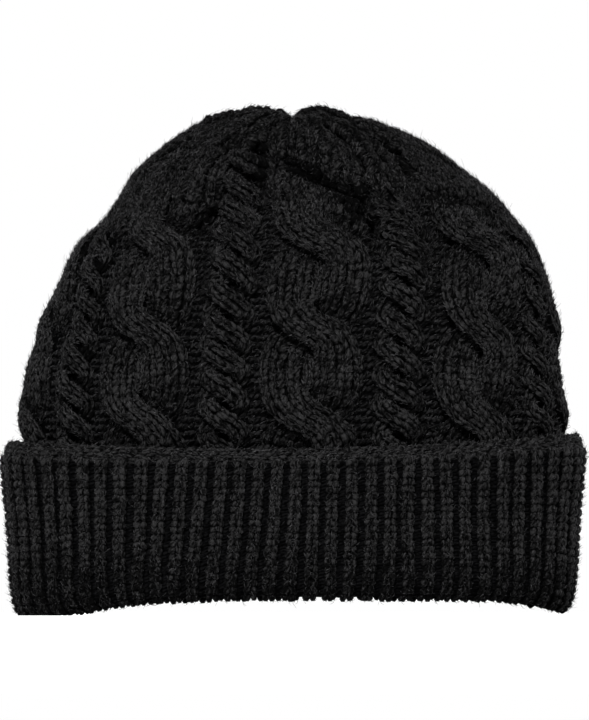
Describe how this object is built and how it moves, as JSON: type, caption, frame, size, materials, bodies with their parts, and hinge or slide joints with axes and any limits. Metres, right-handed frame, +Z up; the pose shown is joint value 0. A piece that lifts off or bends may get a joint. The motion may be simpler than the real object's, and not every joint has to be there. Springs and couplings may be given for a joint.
{
  "type": "knit beanie",
  "caption": "Cable-knit beanie with a ribbed cuff turned up around the brim, a gathered crown and an open head cavity below.",
  "frame": {"origin": "centre of the bounding box's bottom: the middle of the folded edge that the hat stands on", "axes": "+Z up from the brim to the crown, +X across the wide face (longest extent), +Y from the front face to the back (shortest extent)"},
  "size_m": [0.2328, 0.12, 0.204],
  "materials": {
    "ground_knit": "matte charcoal wool, purl side out",
    "cable_knit": "matte charcoal wool, knit side out, slightly hairy",
    "rib_knit": "matte charcoal wool in one-by-one rib, slightly hairy",
    "sewing_yarn": "matte twisted wool yarn"
  },
  "bodies": {
    "hat": {"knit_body": "ground_knit", "knit_crown": "ground_knit", "brim_inner_layer": "rib_knit", "wide_cable_1": "cable_knit", "wide_cable_2": "cable_knit", "wide_cable_3": "cable_knit", "wide_cable_4": "cable_knit", "wide_cable_5": "cable_knit", "wide_cable_6": "cable_knit", "wide_cable_7": "cable_knit", "wide_cable_8": "cable_knit", "rope_cable_1": "cable_knit", "rope_cable_2": "cable_knit", "rope_cable_3": "cable_knit", "rope_cable_4": "cable_knit", "rope_cable_5": "cable_knit", "rope_cable_6": "cable_knit", "rope_cable_7": "cable_knit", "rope_cable_8": "cable_knit", "gather_yarn": "sewing_yarn", "gather_knot": "sewing_yarn", "back_seam": "sewing_yarn"},
    "cuff": {"cuff_outer_layer": "rib_knit", "cuff_fold": "rib_knit", "cuff_edge": "rib_knit"}
  },
  "joints": [
    {"name": "cuff_roll_down", "type": "slide", "parent": "hat", "child": "cuff", "axis": [0, 0, -1], "range_m": [0, 0.058]}
  ]
}
